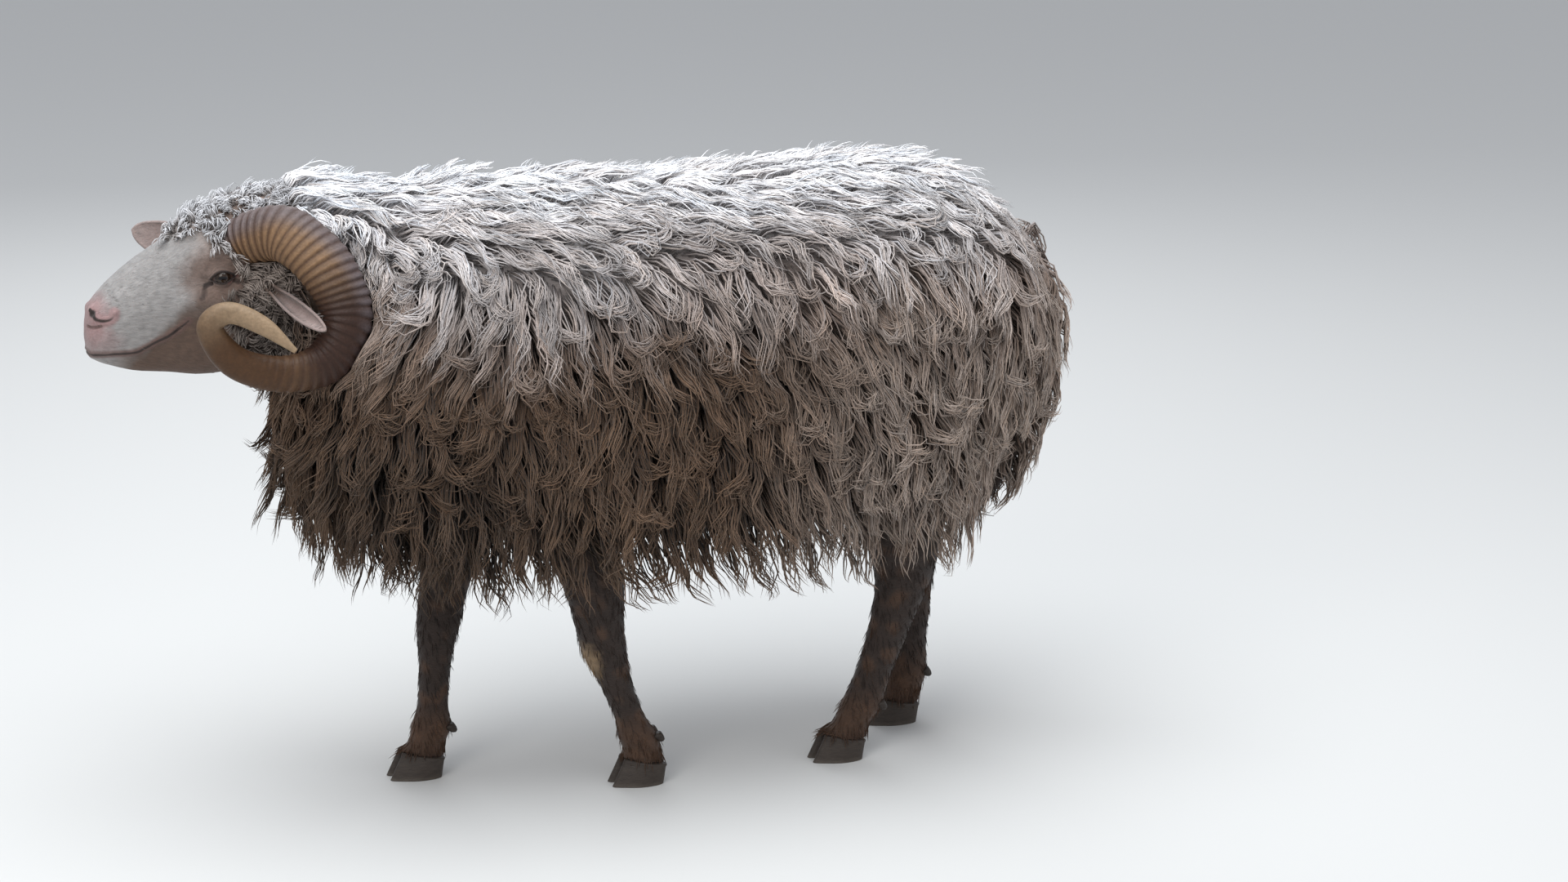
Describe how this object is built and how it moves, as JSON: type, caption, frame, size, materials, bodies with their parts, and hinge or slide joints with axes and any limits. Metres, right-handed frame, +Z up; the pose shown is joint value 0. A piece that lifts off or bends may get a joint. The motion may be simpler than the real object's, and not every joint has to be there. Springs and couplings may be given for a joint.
{
  "type": "navajo-churro sheep",
  "caption": "Life-size still model of a two-horned navajo-churro ram, standing in a walking stance with its long fleece.",
  "frame": {"origin": "on the floor under the middle of the ram's box", "axes": "+X towards the tail, so that the ram faces -X; -Y its left side; +Z up"},
  "size_m": [1.2364, 0.4758, 0.7952],
  "materials": {
    "wool": "long wavy locks of a double coat, pale on the back and beige to brown on the sides",
    "neck_wool": "off-white to beige wavy wool",
    "face": "short pale hair over skin, pink at the nose and lips, taupe round the eye",
    "ear": "thin skin with short pale hair, pinkish inside",
    "eye": "glossy dark amber with a level pupil",
    "horn": "ribbed amber-brown horn with a smooth pale tip",
    "leg": "short dark brown hair with rufous edges",
    "hoof": "grey-tan horn, slightly striated"
  },
  "bodies": {
    "root": {"torso_front": "wool", "torso_rear": "wool", "tail": "wool", "neck": "neck_wool", "head": "face", "ear_left": "ear", "ear_right": "ear", "eye_left": "eye", "eye_right": "eye", "horn_left": "horn", "horn_right": "horn", "foreleg_left": "leg", "foreleg_right": "leg", "hindleg_left": "leg", "hindleg_right": "leg", "fore_left_claw_inner": "hoof", "fore_left_claw_outer": "hoof", "fore_right_claw_inner": "hoof", "fore_right_claw_outer": "hoof", "hind_left_claw_inner": "hoof", "hind_left_claw_outer": "hoof", "hind_right_claw_inner": "hoof", "hind_right_claw_outer": "hoof"}
  },
  "joints": []
}
